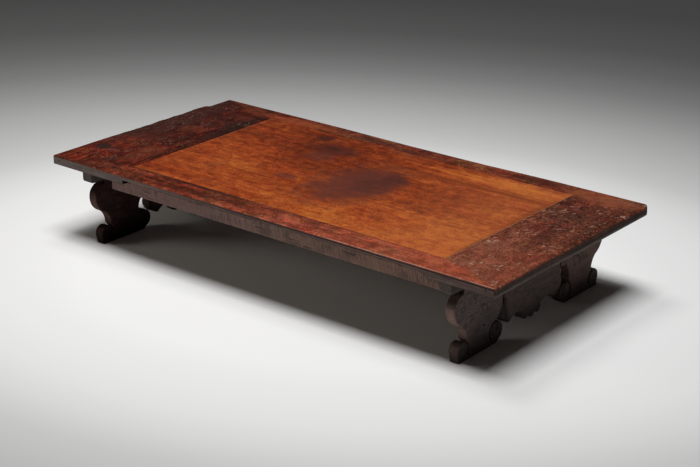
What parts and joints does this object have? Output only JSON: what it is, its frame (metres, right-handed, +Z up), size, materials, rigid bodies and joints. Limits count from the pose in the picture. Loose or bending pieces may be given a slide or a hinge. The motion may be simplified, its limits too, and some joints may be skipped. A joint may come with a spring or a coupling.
{
  "type": "kang table",
  "caption": "Low platform table with a mitred frame-and-panel top on two scroll-cut board ends with scalloped end aprons.",
  "frame": {"origin": "on the floor, under the middle of the top's bounding rectangle", "axes": "+X along the table towards its right end, +Y to the rear, +Z up"},
  "size_m": [1.6, 0.764, 0.262],
  "materials": {
    "top_rails": "worn red-brown stain, waxed",
    "end_boards": "dark red-brown stain, scratched and waxed",
    "panel": "orange-brown stain, waxed, with old marks",
    "battens": "bare, aged",
    "long_aprons": "bare, weathered, saw-marked",
    "cleats": "bare, weathered",
    "leg_boards": "weathered grey-brown, matte",
    "end_aprons": "weathered grey-brown, matte",
    "pegs": "bare end grain",
    "pins": "dark bamboo"
  },
  "bodies": {
    "root": {"front_rail": "top_rails", "rear_rail": "top_rails", "left_end_board": "end_boards", "right_end_board": "end_boards", "front_panel_board": "panel", "middle_panel_board": "panel", "rear_panel_board": "panel", "left_batten": "battens", "middle_batten": "battens", "right_batten": "battens", "front_apron": "long_aprons", "rear_apron": "long_aprons", "left_cleat": "cleats", "right_cleat": "cleats", "front_left_leg": "leg_boards", "front_right_leg": "leg_boards", "rear_left_leg": "leg_boards", "rear_right_leg": "leg_boards", "left_end_apron": "end_aprons", "right_end_apron": "end_aprons", "corner_pegs": "pegs", "mitre_pins": "pins", "apron_pegs": "pegs", "tenon_pegs": "pegs", "cleat_dowels": "pegs", "seam_pins": "pins"}
  },
  "joints": []
}
